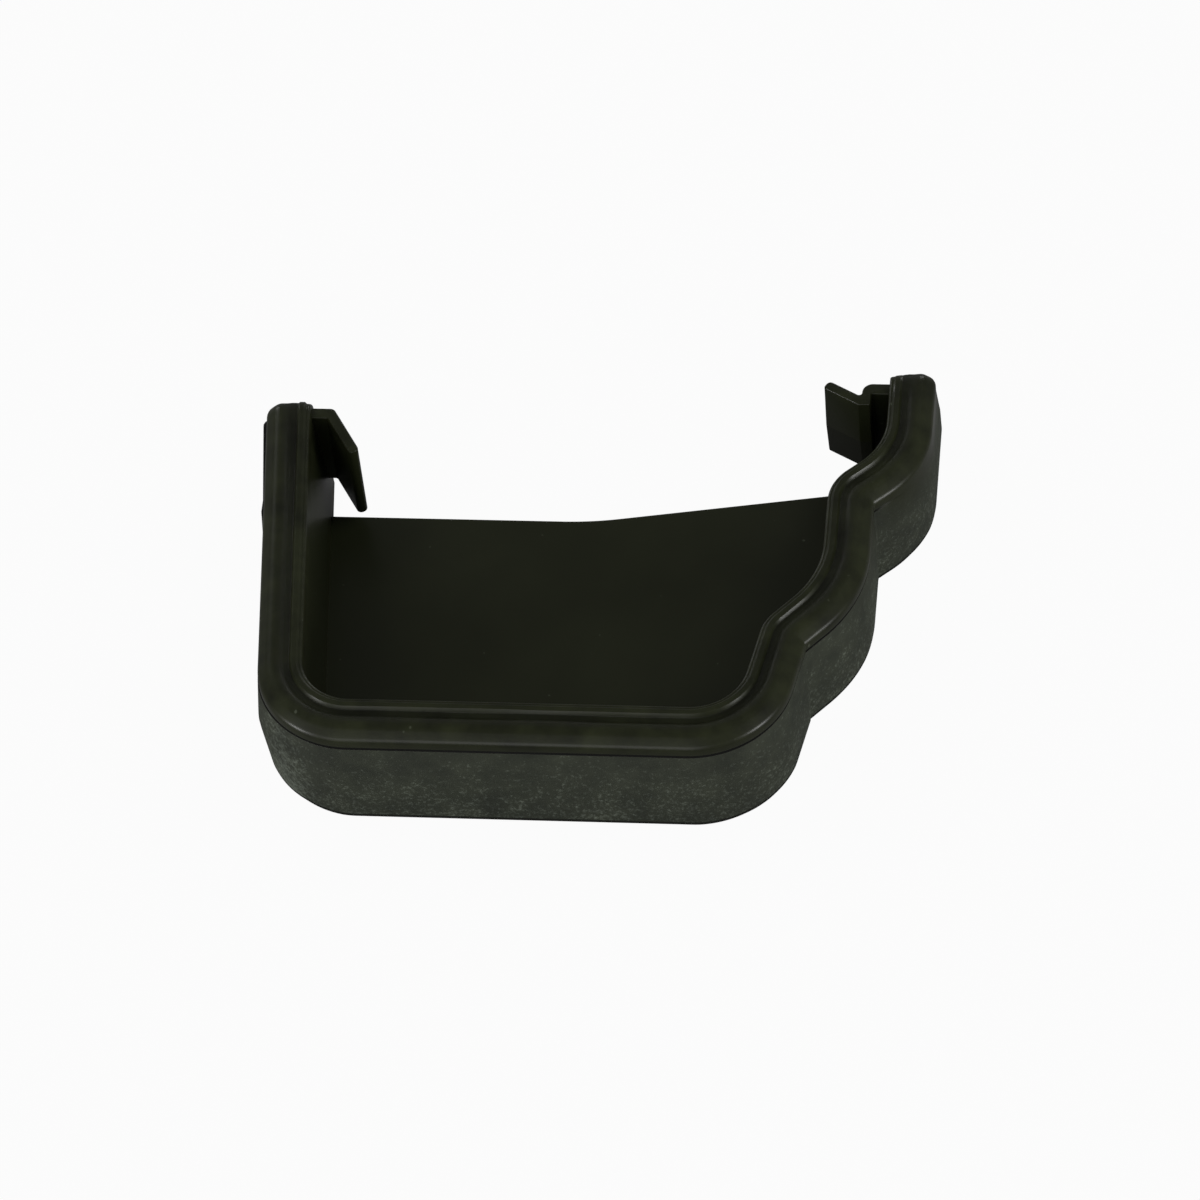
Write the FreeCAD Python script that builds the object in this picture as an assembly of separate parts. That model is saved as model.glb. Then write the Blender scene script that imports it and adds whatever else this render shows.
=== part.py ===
"""External end cap for an ogee gutter, moulded in one piece, lengths in millimetres.

It lies on the outer face of its end wall, mouth upwards. X runs across the gutter from
the back arm to the front arm, Y up the gutter's height and Z out of the mouth.
One cross-section of the collar is carried along the ogee path of the mouth.
"""
import FreeCAD
import Part

import math
import os

# Path of the mouth's inner edge, from the foot of the back arm
BACK_HEIGHT = 74.5
BACK_LEAN = 5.0
MOUTH_WIDTH = 108.8
FRONT_HEIGHT = 84.3
TOE_RUN = 4.0
TOE_RISE = 21.2
LOWER_STEP_RUN = 10.4
LOWER_STEP_RISE = 11.7
BELLY_RISE = 23.0
UPPER_STEP_RUN = 10.4
UPPER_STEP_RISE = 9.4
FRONT_TILT = 9.5

# Bend radii of the same edge, in order from the back arm to the front arm
HEEL_R = 10.0
TOE_R = 11.0
BELLY_R = 20.5
BROW_R = 14.0

# Radius left at the rim's outer edge in the two hollow bends
LOWER_CREASE_R = 0.3
UPPER_CREASE_R = 1.0

# Cross-section of the collar
DEPTH = 27.0
RIM_WIDTH = 9.0
WALL = 2.3
RIM_THICKNESS = 2.6
SOCKET_TAPER = 2.0
MOUTH_R = 0.6
BEAD_START = 0.8
BEAD_WIDTH = 1.8
BEAD_SIDE = 0.4
BEAD_HEIGHT = 0.4
FACE_DIP = 0.5
DIP_MIDDLE = 0.7
ROLL_R = 3.4
LIP_FACE = 0.8
LIP_OVERHANG = 0.2
PARTING_Z = 11.5
UPPER_DRAFT = 0.35
LOWER_DRAFT = 0.25
FOOT_HEIGHT = 1.1
FOOT_INSET = 0.15

# Arm ends
END_ZONE = 7.0
CORNER_R = 3.6
FRONT_END_REACH = 8.4

# End wall
END_WALL = 2.4
END_WALL_HEIGHT = 63.8
END_WALL_BEND = 48.8
END_WALL_BEND_R = 70.0

# Clips: the hook on the back arm and the spring catch on the front arm
HOOK_DROP = 1.5
HOOK_SET_BACK = 1.6
HOOK_FOOT = 6.0
HOOK_BAR = 2.5
HOOK_KNEE = 4.6
HOOK_KNEE_R = 1.3
HOOK_LEG = 12.1
HOOK_LEG_WIDTH = 2.2
HOOK_LEG_ANGLE = 31.0
HOOK_TIP_R = 1.0
CATCH_DROP = 1.9
CATCH_SET_BACK = 2.0
CATCH_FOOT = 5.2
CATCH_PARTING = 8.5
CATCH_BAR = 2.6
CATCH_REACH = 3.7
CATCH_WEB = 1.8
CATCH_VALLEY = 3.3
CATCH_HEEL = 5.4
CATCH_THICKNESS = 2.1
CATCH_LEG = 7.8
CATCH_LEG_ANGLE = 30.0
CATCH_SWELL = 0.25
CATCH_BEND_R = 2.1
CATCH_EDGE_R = 0.6

# Worked out from the sizes above
BOTTOM_LENGTH = MOUTH_WIDTH - TOE_RUN - LOWER_STEP_RUN - UPPER_STEP_RUN
FRONT_RISE = FRONT_HEIGHT - TOE_RISE - LOWER_STEP_RISE - BELLY_RISE - UPPER_STEP_RISE
BEAD_END = BEAD_START + BEAD_WIDTH
ROLL_START = RIM_WIDTH - ROLL_R
LIP_Z = DEPTH - ROLL_R - LIP_FACE
BAY_Z = DEPTH - RIM_THICKNESS
WALL_TOP = RIM_WIDTH - LIP_OVERHANG
WALL_PARTING = WALL_TOP + UPPER_DRAFT
WALL_FOOT = WALL_PARTING - LOWER_DRAFT
DIAGONAL = math.sqrt(0.5)
UP = FreeCAD.Vector(0, 0, 1)


def point(x, y, z=0.0):
    return FreeCAD.Vector(x, y, z)


def mouth_corners():
    """Corners of the mouth's inner edge and the radius at each, back arm first."""
    lean = math.tan(math.radians(BACK_LEAN))
    x, y = BOTTOM_LENGTH, 0.0
    corners = [(-BACK_HEIGHT * lean, BACK_HEIGHT, 0.0), (0.0, 0.0, HEEL_R), (x, y, TOE_R)]
    for run, rise, radius in (
        (TOE_RUN, TOE_RISE, RIM_WIDTH + LOWER_CREASE_R),
        (LOWER_STEP_RUN, LOWER_STEP_RISE, BELLY_R),
        (0.0, BELLY_RISE, RIM_WIDTH + UPPER_CREASE_R),
        (UPPER_STEP_RUN, UPPER_STEP_RISE, BROW_R),
        (0.0, FRONT_RISE, 0.0),
    ):
        x += run
        y += rise
        corners.append((x, y, radius))
    return corners


def route(corners):
    """Straights and tangent bends as (start, heading, length) and (start, heading, radius, turn)."""
    pieces = []
    here = point(*corners[0][:2])
    for before, corner, after in zip(corners, corners[1:], corners[2:] + [None]):
        ahead = point(*corner[:2])
        way = (ahead - point(*before[:2])).normalize()
        heading = math.degrees(math.atan2(way.y, way.x))
        turn = 0.0
        if after is not None:
            onward = point(*after[:2]) - ahead
            turn = math.degrees(math.atan2(onward.y, onward.x)) - heading
            turn = (turn + 180.0) % 360.0 - 180.0
        tangent = corner[2] * math.tan(math.radians(abs(turn)) / 2)
        stop = ahead - way * tangent
        pieces.append(("straight", here, heading, (stop - here).Length))
        here = stop
        if turn and corner[2]:
            pieces.append(("bend", stop, heading, corner[2], turn))
            side = math.radians(heading + turn)
            here = ahead + point(math.cos(side), math.sin(side)) * tangent
    return pieces


def carry(section, piece):
    """Solid of one stretch: the section stands across the path with its x axis outwards."""
    start, heading = piece[1], piece[2]
    if piece[0] == "straight":
        solid = section.extrude(point(0, piece[3], 0))
    else:
        radius, turn = piece[3], piece[4]
        side = -radius if turn > 0 else radius
        solid = section.revolve(point(side, 0, 0), UP, turn)
    solid.Placement = FreeCAD.Placement(start, FreeCAD.Rotation(UP, heading - 90.0))
    return solid


def edge_along(piece, offset):
    """Edge that runs beside one stretch of the path, offset outwards."""
    start, heading = piece[1], piece[2]
    along = FreeCAD.Placement(start, FreeCAD.Rotation(UP, heading - 90.0))
    if piece[0] == "straight":
        ends = [point(offset, 0), point(offset, piece[3])]
        return Part.makeLine(*[along.multVec(end) for end in ends])
    radius, turn = piece[3], piece[4]
    side = -radius if turn > 0 else radius
    centre = point(side, 0)
    spots = []
    for share in (0.0, 0.5, 1.0):
        spin = FreeCAD.Rotation(UP, turn * share)
        spots.append(along.multVec(centre + spin.multVec(point(offset - side, 0))))
    return Part.Arc(*spots).toShape()


def socket_face_at(z):
    """How far the socket's inner face lies outside the mouth's edge at a height."""
    return -SOCKET_TAPER * (1 - z / (DEPTH - MOUTH_R))


def face_dip():
    """Arc of the rim's face, which sinks beside the bead and climbs to the rolled rim."""
    middle = point((BEAD_END + ROLL_START) / 2, 0, DEPTH - DIP_MIDDLE * FACE_DIP)
    return Part.Arc(point(BEAD_END, 0, DEPTH - FACE_DIP), middle, point(ROLL_START, 0, DEPTH)).toShape()


def collar_section():
    """Closed outline of the collar: inner wall, beadless face, rolled rim, outer wall, open bay."""
    def at(u, z):
        return point(u, 0, z)

    mouth = MOUTH_R * (1 - DIAGONAL)
    roll = ROLL_R * DIAGONAL
    edges = [
        Part.makeLine(at(socket_face_at(0), 0), at(0, DEPTH - MOUTH_R)),
        Part.Arc(at(0, DEPTH - MOUTH_R), at(mouth, DEPTH - mouth), at(MOUTH_R, DEPTH)).toShape(),
        Part.makeLine(at(MOUTH_R, DEPTH), at(BEAD_START, DEPTH)),
        Part.makeLine(at(BEAD_START, DEPTH), at(BEAD_END, DEPTH - FACE_DIP)),
        face_dip(),
        Part.Arc(at(ROLL_START, DEPTH), at(ROLL_START + roll, DEPTH - ROLL_R + roll),
                 at(RIM_WIDTH, DEPTH - ROLL_R)).toShape(),
    ]
    corners = [at(RIM_WIDTH, DEPTH - ROLL_R), at(RIM_WIDTH, LIP_Z), at(WALL_TOP, LIP_Z),
               at(WALL_PARTING, PARTING_Z), at(WALL_FOOT, FOOT_HEIGHT),
               at(WALL_FOOT - FOOT_INSET, FOOT_HEIGHT),
               at(WALL_FOOT - FOOT_INSET, 0), at(WALL_FOOT - WALL, 0), at(WALL_TOP - WALL, BAY_Z),
               at(WALL, BAY_Z), at(socket_face_at(0) + WALL, 0), at(socket_face_at(0), 0)]
    edges += [Part.makeLine(a, b) for a, b in zip(corners, corners[1:])]
    return Part.Face(Part.Wire(edges))


def bead_section():
    """Outline of the raised bead, bedded in the rim's face."""
    first = point(BEAD_START, 0, DEPTH)
    last = point(BEAD_END, 0, DEPTH - FACE_DIP)
    crest = DEPTH + BEAD_HEIGHT
    bed = point(0, 0, -MOUTH_R - FACE_DIP)
    return Part.Face(Part.makePolygon([
        first, point(BEAD_START + BEAD_SIDE, 0, crest), point(BEAD_END - BEAD_SIDE, 0, crest),
        last, last + bed, first + bed, first]))


def arm_layers(reach):
    """Outer side, end inset and extra reach of an arm end at each of its levels."""
    def spread(z):
        return reach * (1 - z / LIP_Z)

    return [
        ((0.0, WALL_FOOT - FOOT_INSET, spread(0)),
         (FOOT_HEIGHT, WALL_FOOT - FOOT_INSET, spread(FOOT_HEIGHT))),
        ((FOOT_HEIGHT, WALL_FOOT, spread(FOOT_HEIGHT)), (PARTING_Z, WALL_PARTING, spread(PARTING_Z))),
        ((PARTING_Z, WALL_PARTING, spread(PARTING_Z)), (LIP_Z, WALL_TOP, spread(LIP_Z))),
        ((LIP_Z, RIM_WIDTH, 0.0), (DEPTH, RIM_WIDTH, 0.0)),
    ]


def arm_outline(z, sides, slope, push, radius):
    """Plan of an arm end at one height: cut across the arm, closed end, rounded outer corner."""
    inner, outer = sides
    rise = math.tan(math.radians(slope))
    corner = point(outer, END_ZONE + outer * rise + push, z)
    inner_end = point(inner, END_ZONE + inner * rise + push, z)
    tangent = radius * math.tan(math.radians(90 + slope) / 2)
    bend = corner - point(0, tangent)
    resume = corner + (inner_end - corner).normalize() * tangent
    centre = bend - point(radius, 0)
    middle = centre + (corner - centre).normalize() * radius
    edges = [
        Part.makeLine(point(inner, 0, z), point(outer, 0, z)),
        Part.makeLine(point(outer, 0, z), bend),
        Part.Arc(bend, middle, resume).toShape(),
        Part.makeLine(resume, inner_end),
        Part.makeLine(inner_end, point(inner, 0, z)),
    ]
    return Part.Wire(edges)


def arm_end(slope, reach):
    """Closed end of an arm, in the arm's own axes: x outwards, y to the end, z up.

    Its levels are the foot, the wall below and above the parting line, and the rolled lip,
    which is carried round the end and its outer corner.
    """
    inner = -2 * SOCKET_TAPER
    voids = [socket_void(), face_void(), bay_void(slope, reach)]
    levels = []
    for level_ends in arm_layers(reach):
        wires = []
        for z, outer, push in level_ends:
            growth = outer - RIM_WIDTH
            wires.append(arm_outline(z, (inner, outer), slope, push + growth, CORNER_R + growth))
        level = Part.makeLoft(wires, True, True)
        if level_ends[1][0] == DEPTH:
            brim = [edge for edge in level.Edges
                    if min(v.Z for v in edge.Vertexes) > DEPTH - FOOT_INSET
                    and max(v.X for v in edge.Vertexes) > inner + 1
                    and max(v.Y for v in edge.Vertexes) > 1]
            level = level.makeFillet(ROLL_R, brim)
        levels.append(level.cut(voids))
    return levels


def socket_void():
    """Space of the socket beside an arm end, with the rounded edge of the mouth."""
    far = -4 * SOCKET_TAPER
    length = 4 * END_ZONE
    mouth = MOUTH_R * (1 - DIAGONAL)
    above = DEPTH + RIM_THICKNESS
    low = point(socket_face_at(-1), 0, -1)
    edge = point(0, 0, DEPTH - MOUTH_R)
    brink = point(MOUTH_R, 0, DEPTH)
    sides = Part.makePolygon([brink, point(MOUTH_R, 0, above), point(far, 0, above),
                              point(far, 0, -1), low, edge])
    rounding = Part.Arc(edge, point(mouth, 0, DEPTH - mouth), brink).toShape()
    outline = Part.Face(Part.Wire(sides.Edges + [rounding]))
    return outline.extrude(point(0, length, 0))


def face_void():
    """Shallow dip of the rim's face, run out over the arm end."""
    above = DEPTH + RIM_THICKNESS
    sides = Part.makePolygon([point(ROLL_START, 0, DEPTH), point(ROLL_START, 0, above),
                              point(BEAD_START, 0, above), point(BEAD_START, 0, DEPTH),
                              point(BEAD_END, 0, DEPTH - FACE_DIP)])
    outline = Part.Face(Part.Wire(sides.Edges + [face_dip()]))
    return outline.extrude(point(0, 4 * END_ZONE, 0))


def bay_void(slope, reach):
    """The cored bay inside an arm end, closed by one wall thickness."""
    low, high = (-1.0, reach * (1 + 1 / LIP_Z)), (BAY_Z, 0.0)
    wires = []
    for z, push in (low, high):
        inner = WALL + socket_face_at(z) * (BAY_Z - z) / BAY_Z
        outer = WALL_TOP - WALL + (WALL_FOOT - WALL_TOP) * (1 - z / BAY_Z)
        wires.append(arm_outline(z, (inner, outer), slope, push - WALL - LIP_OVERHANG, CORNER_R - WALL))
    return Part.makeLoft(wires, True, True)


def bead_over_end(slope):
    """Bead of the last stretch of an arm, turned down over the rolled end."""
    middle = BEAD_START + BEAD_WIDTH / 2
    run = END_ZONE + middle * math.tan(math.radians(slope)) - ROLL_R
    section = bead_section()
    straight = section.extrude(point(0, run, 0))
    section.translate(point(0, run, 0))
    turned = section.revolve(point(0, run, DEPTH - ROLL_R), point(-1, 0, 0), 90)
    return straight.fuse(turned)


def place_arm(solid, foot, lean, mirrored):
    """Put an arm end on its arm: foot is the mouth's edge where the arm is cut across."""
    if mirrored:
        solid = solid.mirror(point(0, 0, 0), point(1, 0, 0))
    solid.Placement = FreeCAD.Placement(foot, FreeCAD.Rotation(UP, lean)) * solid.Placement
    return solid


def collar():
    """The whole collar: stretches along the path, with both arm ends and the bead."""
    corners = mouth_corners()
    lean = math.radians(BACK_LEAN)
    back_cut = BACK_HEIGHT - END_ZONE * math.cos(lean)
    corners[0] = (-back_cut * math.tan(lean), back_cut, 0.0)
    corners[-1] = (corners[-1][0], corners[-1][1] - END_ZONE, 0.0)
    pieces = route(corners)
    section, bead = collar_section(), bead_section()
    solids = [carry(section, piece) for piece in pieces]
    solids += [carry(bead, piece) for piece in pieces]
    back_foot = point(*corners[0][:2])
    front_foot = point(*corners[-1][:2])
    for part in arm_end(BACK_LEAN, 0.0) + [bead_over_end(BACK_LEAN)]:
        solids.append(place_arm(part, back_foot, BACK_LEAN, True))
    for part in arm_end(FRONT_TILT, FRONT_END_REACH) + [bead_over_end(FRONT_TILT)]:
        solids.append(place_arm(part, front_foot, 0.0, False))
    return solids


def end_wall():
    """Thin end wall, bedded in the foot of the inner wall, with its softly bent top edge."""
    corners = mouth_corners()
    seat = WALL / 2 - SOCKET_TAPER
    edges = [edge_along(piece, seat) for piece in route(corners)]
    first = edges[0].Vertexes[0].Point
    last = edges[-1].Vertexes[-1].Point
    edges.append(Part.makeLine(last, first))
    wall = Part.Face(Part.Wire(edges)).extrude(point(0, 0, END_WALL))
    climb = math.tan(math.radians(FRONT_TILT))
    ease = END_WALL_BEND_R * math.tan(math.radians(FRONT_TILT) / 2)
    far = 2 * BOTTOM_LENGTH
    bend = point(END_WALL_BEND, END_WALL_HEIGHT)
    slope_way = point(1, climb).normalize()
    start, stop = bend - point(ease, 0), bend + slope_way * ease
    sag = END_WALL_BEND_R * (1 - math.cos(math.radians(FRONT_TILT) / 2))
    half_way = math.radians(FRONT_TILT) / 2
    middle = start + point(END_WALL_BEND_R * math.sin(half_way), sag)
    far_top = bend + slope_way * far
    path = [Part.makeLine(point(-far, END_WALL_HEIGHT), start), Part.Arc(start, middle, stop).toShape(),
            Part.makeLine(stop, far_top)]
    rest = Part.makePolygon([far_top, point(far_top.x, -far), point(-far, -far),
                             point(-far, END_WALL_HEIGHT)])
    below = Part.Face(Part.Wire(path + rest.Edges)).extrude(point(0, 0, END_WALL))
    return wall.common(below)


def plan_outline(corners, z):
    """Closed plan outline at one height through (x, y, radius) corners, the first one sharp."""
    outline = Part.Wire([edge_along(piece, 0.0) for piece in route(corners + corners[:1])])
    outline.translate(UP * z)
    return outline


def back_hook():
    """Hook that springs over the gutter's back edge: a bar, a knee and a slanted leg."""
    lean = math.tan(math.radians(BACK_LEAN))
    top = BACK_HEIGHT - HOOK_DROP
    root = -top * lean - WALL / 2
    slant = math.radians(HOOK_LEG_ANGLE)
    down = point(math.sin(slant), -math.cos(slant))
    inward = point(-math.cos(slant), -math.sin(slant))
    knee = point(-top * lean + HOOK_KNEE, top)
    outer_tip = knee + down * HOOK_LEG
    inner_tip = outer_tip + inward * HOOK_LEG_WIDTH
    inner_knee = inner_tip - down * ((top - HOOK_BAR - inner_tip.y) / math.cos(slant))
    corners = [(root, top - HOOK_BAR, 0.0), (inner_knee.x, inner_knee.y, HOOK_KNEE_R / 2),
               (inner_tip.x, inner_tip.y, HOOK_TIP_R), (outer_tip.x, outer_tip.y, HOOK_TIP_R),
               (knee.x, knee.y, HOOK_KNEE_R), (root, top, 0.0)]
    height = DEPTH - HOOK_SET_BACK - HOOK_FOOT
    return Part.Face(plan_outline(corners, HOOK_FOOT)).extrude(UP * height)


def catch_outline(swell):
    """Corners of the spring catch in plan; the leg's lower face stands out by the swell."""
    wall_x, end_y = mouth_corners()[-1][:2]
    top = end_y - CATCH_DROP
    root = wall_x + WALL / 2
    slant = math.radians(CATCH_LEG_ANGLE)
    out = point(-math.cos(slant), math.sin(slant))
    below = point(-math.sin(slant), -math.cos(slant))
    web = wall_x - CATCH_REACH
    valley = point(web - CATCH_WEB, top - CATCH_VALLEY)
    upper_tip = valley + out * CATCH_LEG
    lower_tip = upper_tip + below * (CATCH_THICKNESS + swell)
    heel_y = top - CATCH_HEEL - swell
    heel = lower_tip - out * ((lower_tip.y - heel_y) / math.sin(slant))
    return [(root, top, 0.0), (web - CATCH_WEB, top, CATCH_BEND_R), (valley.x, valley.y, CATCH_EDGE_R),
            (upper_tip.x, upper_tip.y, CATCH_BEND_R / 2), (lower_tip.x, lower_tip.y, CATCH_EDGE_R),
            (heel.x, heel.y, CATCH_EDGE_R), (web, heel_y, CATCH_EDGE_R / 2),
            (web, top - CATCH_BAR, CATCH_EDGE_R / 2), (root, top - CATCH_BAR, 0.0)]


def front_catch():
    """Spring catch inside the front arm's end, drafted both ways from its parting line."""
    height = DEPTH - CATCH_SET_BACK - CATCH_FOOT
    levels = [(0.0, 0.0), (CATCH_PARTING, CATCH_SWELL), (height, 0.0)]
    wires = [plan_outline(catch_outline(swell), CATCH_FOOT + z) for z, swell in levels]
    return Part.makeLoft(wires, True, True)


def end_cap():
    """All of the moulding as one solid, centred over the table."""
    solids = collar() + [end_wall(), back_hook(), front_catch()]
    whole = solids[0].multiFuse(solids[1:]).removeSplitter()
    box = whole.optimalBoundingBox(False, False)
    whole.translate(point(-box.Center.x, -box.Center.y, -box.ZMin))
    return whole


os.makedirs("parts", exist_ok=True)
CAP = end_cap()
CAP.exportStep("parts/end_cap.step")
SIZE = CAP.optimalBoundingBox(False, False)
print(f"end_cap: {len(CAP.Solids)} solid, valid {CAP.isValid()}, volume {CAP.Volume / 1000:.1f} cm3")
print(f"overall {SIZE.XLength:.1f} x {SIZE.YLength:.1f} x {SIZE.ZLength:.1f} mm")
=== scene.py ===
# %% [markdown]
# # A gutter end cap in satin black plastic
#
# The cap is one injection moulding. A deep collar goes over the end of an ogee rain
# gutter, a thin wall closes it, and two sprung clips hold the gutter's edges. Here its
# visible skin is worked out with numpy at a fine pitch, over the construction model.

# %% Load the construction model
import math

import bmesh
import bpy
import numpy as np
from mathutils import Matrix, Vector


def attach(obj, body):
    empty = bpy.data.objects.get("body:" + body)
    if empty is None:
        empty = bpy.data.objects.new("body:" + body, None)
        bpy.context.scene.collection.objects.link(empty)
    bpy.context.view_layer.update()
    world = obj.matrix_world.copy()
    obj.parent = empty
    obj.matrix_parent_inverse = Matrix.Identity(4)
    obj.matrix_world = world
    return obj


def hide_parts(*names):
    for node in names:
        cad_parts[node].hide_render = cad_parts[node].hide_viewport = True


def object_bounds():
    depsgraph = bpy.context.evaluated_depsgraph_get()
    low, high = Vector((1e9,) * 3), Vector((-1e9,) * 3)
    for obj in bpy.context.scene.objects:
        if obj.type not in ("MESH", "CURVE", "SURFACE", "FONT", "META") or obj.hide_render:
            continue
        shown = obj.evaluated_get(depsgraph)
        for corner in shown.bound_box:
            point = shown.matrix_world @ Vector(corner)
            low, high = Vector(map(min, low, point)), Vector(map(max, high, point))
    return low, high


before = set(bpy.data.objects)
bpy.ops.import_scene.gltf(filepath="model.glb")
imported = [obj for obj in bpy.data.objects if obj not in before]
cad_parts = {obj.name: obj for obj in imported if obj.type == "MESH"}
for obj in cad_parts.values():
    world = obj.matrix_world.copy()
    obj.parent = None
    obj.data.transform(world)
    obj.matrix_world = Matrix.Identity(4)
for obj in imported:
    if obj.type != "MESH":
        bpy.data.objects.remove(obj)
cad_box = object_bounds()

print("construction box", [round(v * 1000, 1) for corner in cad_box for v in corner])

# %% [markdown]
# ## Sizes
#
# All sizes are in millimetres in the cap's own drawing axes, with the origin at the foot
# of the back arm's inner edge. Each mesh is moved onto the construction model when it is
# made, so that every number can be read against a ruler.

# %% Sizes of the path
MM = 0.001
BACK_HEIGHT, FRONT_HEIGHT = 74.5, 84.3
BACK_SLOPE, FRONT_SLOPE = 5.0, 9.5
# Corners of the mouth's inner edge from the back arm on: x, y and the radius of the bend.
MOUTH = np.array([
    (-BACK_HEIGHT * math.tan(math.radians(BACK_SLOPE)), BACK_HEIGHT, 0.0), (0.0, 0.0, 10.0),
    (84.0, 0.0, 11.0), (88.0, 21.2, 9.3), (98.4, 32.9, 20.5), (98.4, 55.9, 10.0),
    (108.8, 65.3, 14.0), (108.8, FRONT_HEIGHT, 0.0),
])
UPPER_HOLLOW = MOUTH[5, :2]
# Length of each arm that its end takes up, and how far the front one leans in its depth.
END_ZONE = 7.0
FRONT_REACH = 8.4
print("mouth", np.ptp(MOUTH[:, 0]).round(1), "mm wide")

# %% Sizes of the section
# Widths count outwards from the mouth's edge, heights from the end wall's outer face.
DEPTH = 27.0
RIM = 9.0
ROLL_R = 3.4
BEVEL_ANGLE, BEVEL_START = 43.0, 6.65
LIP_Z = 22.8
OVERHANG = 0.2
CREASE_DEPTH, CREASE_HEIGHT = 0.9, 0.9
WALL_TOP, WALL_PARTING, WALL_FOOT, FOOT = 8.8, 9.15, 8.9, 8.75
PARTING_Z = 11.5
FOOT_HEIGHT = 1.1
WALL = 2.3
BAY_Z = 24.4
TAPER = 2.0
MOUTH_R = 0.6
BEAD_START, BEAD_END, BEAD_SIDE, BEAD_HEIGHT = 0.8, 2.6, 0.4, 0.4
DIP, DIP_FOOT, TROUGH_END = 0.55, 0.6, 4.6

low, high = (np.array(corner) / MM for corner in cad_box)
DRAWING_SHIFT = np.array([high[0] - MOUTH[-1, 0] - WALL_PARTING, low[1] + WALL_PARTING, low[2]])
print("drawing origin in the model", DRAWING_SHIFT.round(2))


# %% [markdown]
# ## From arrays to meshes
#
# Every piece is a few grids of points. A grid's faces follow from its row and column
# numbers, so one small function serves all of them. Points that coincide, at seams and
# poles, are then merged, and the normals are made to point outwards. A piece may carry
# one more value per point, which the material reads as the finish of its surface and as
# painted light and shade.

# %% Helpers that turn grids into closed meshes
# Name of the value per point: the finish, with painted light and painted shade in it.
FINISH_AND_LIGHT = "finish_and_painted_light"
MERGE = 0.002


def grid_faces(rows, columns, first=0, wrap=False):
    """Quads of a grid: each joins a point, its right neighbour and the two above them."""
    row, column = np.meshgrid(np.arange(rows - 1), np.arange(columns - (not wrap)), indexing="ij")
    right = (column + 1) % columns
    corners = (row * columns + column, row * columns + right,
               (row + 1) * columns + right, (row + 1) * columns + column)
    return first + np.stack(corners, axis=-1).reshape(-1, 4)


def mesh_piece(name, grids, caps=(), finish_and_light=None, sharp=40.0):
    """One closed piece from point grids, given as (points, wrap), and flat caps.

    A cap is an array of points in order round it. The finish, with its painted light and
    shade, is one value for each point of the grids. Edges that turn by more than the sharp
    angle, in degrees, stay sharp.
    """
    points, faces, count = [], [], 0
    for grid, wrap in grids:
        faces += grid_faces(grid.shape[0], grid.shape[1], count, wrap).tolist()
        points.append(grid.reshape(-1, 3))
        count += points[-1].shape[0]
    for cap in caps:
        faces.append(list(range(count, count + len(cap))))
        points.append(cap)
        count += len(cap)
    placed = (np.concatenate(points) + DRAWING_SHIFT) * MM
    mesh = bpy.data.meshes.new(name)
    mesh.from_pydata(placed.tolist(), [], faces)
    if finish_and_light is not None:
        layer = mesh.attributes.new(FINISH_AND_LIGHT, "FLOAT", "POINT")
        values = np.concatenate([np.ravel(v) for v in finish_and_light])
        layer.data.foreach_set("value", np.pad(values, (0, count - len(values))).astype(np.float32))
    shell = bmesh.new()
    shell.from_mesh(mesh)
    bmesh.ops.remove_doubles(shell, verts=shell.verts, dist=MERGE * MM)
    bmesh.ops.recalc_face_normals(shell, faces=shell.faces)
    open_edges = sum(not edge.is_manifold for edge in shell.edges)
    shell.to_mesh(mesh)
    shell.free()
    mesh.shade_smooth()
    mesh.set_sharp_from_angle(angle=math.radians(sharp))
    piece = bpy.data.objects.new(name, mesh)
    bpy.context.scene.collection.objects.link(piece)
    print(name, len(mesh.polygons), "faces,", open_edges, "open edges")
    return piece


def unit(vector):
    """The vector at length one."""
    return vector / np.linalg.norm(vector, axis=-1, keepdims=True)


def turned(vector, angles):
    """A plane vector turned by each of the angles: x cos - y sin, x sin + y cos."""
    c, s = np.cos(angles), np.sin(angles)
    return np.stack([vector[0] * c - vector[1] * s, vector[0] * s + vector[1] * c], axis=-1)


# %% [markdown]
# ## The path of the mouth
#
# The mouth's inner edge is a chain of straights with a tangent arc at each corner, as a
# draughtsman would draw the gutter's profile. The collar follows it, so the path also
# carries the direction that points away from the socket at each of its points.

# %% Tangent arcs and straights
def bend(before, corner, after, radius, count):
    """Arc that touches both lines at a corner: points, and the heading at each point.

    The tangent length is radius times the tangent of half the turn, and the arc is the
    spoke from its centre turned step by step.
    """
    heading, onward = unit(corner - before), unit(after - corner)
    turn = math.atan2(heading[0] * onward[1] - heading[1] * onward[0], heading @ onward)
    start = corner - heading * radius * math.tan(abs(turn) / 2)
    left = np.array([-heading[1], heading[0]]) * np.sign(turn)
    centre = start + left * radius
    angles = np.linspace(0.0, turn, count)
    return centre + turned(start - centre, angles), turned(heading, angles)


def chain(corners, radii, arc_step, line_step):
    """Points and headings along a line of corners, each rounded with its radius."""
    corners = np.asarray(corners, float)
    points, headings = [corners[:1]], [unit(corners[1:2] - corners[:1])]
    for before, corner, after, radius in zip(corners, corners[1:], corners[2:], radii[1:]):
        turn = math.acos(np.clip(unit(corner - before) @ unit(after - corner), -1, 1))
        arc, along = bend(before, corner, after, radius, max(2, round(turn / arc_step) + 1))
        gap = np.linalg.norm(arc[0] - points[-1][-1])
        share = np.linspace(0, 1, max(1, math.ceil(gap / line_step)) + 1)[1:-1, None]
        points += [points[-1][-1] + (arc[0] - points[-1][-1]) * share, arc]
        headings += [np.repeat(along[:1], len(share), axis=0), along]
    gap = np.linalg.norm(corners[-1] - points[-1][-1])
    share = np.linspace(0, 1, max(1, math.ceil(gap / line_step)) + 1)[1:, None]
    points.append(points[-1][-1] + (corners[-1] - points[-1][-1]) * share)
    headings.append(np.repeat(headings[-1][-1:], len(share), axis=0))
    return np.concatenate(points), np.concatenate(headings)


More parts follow.
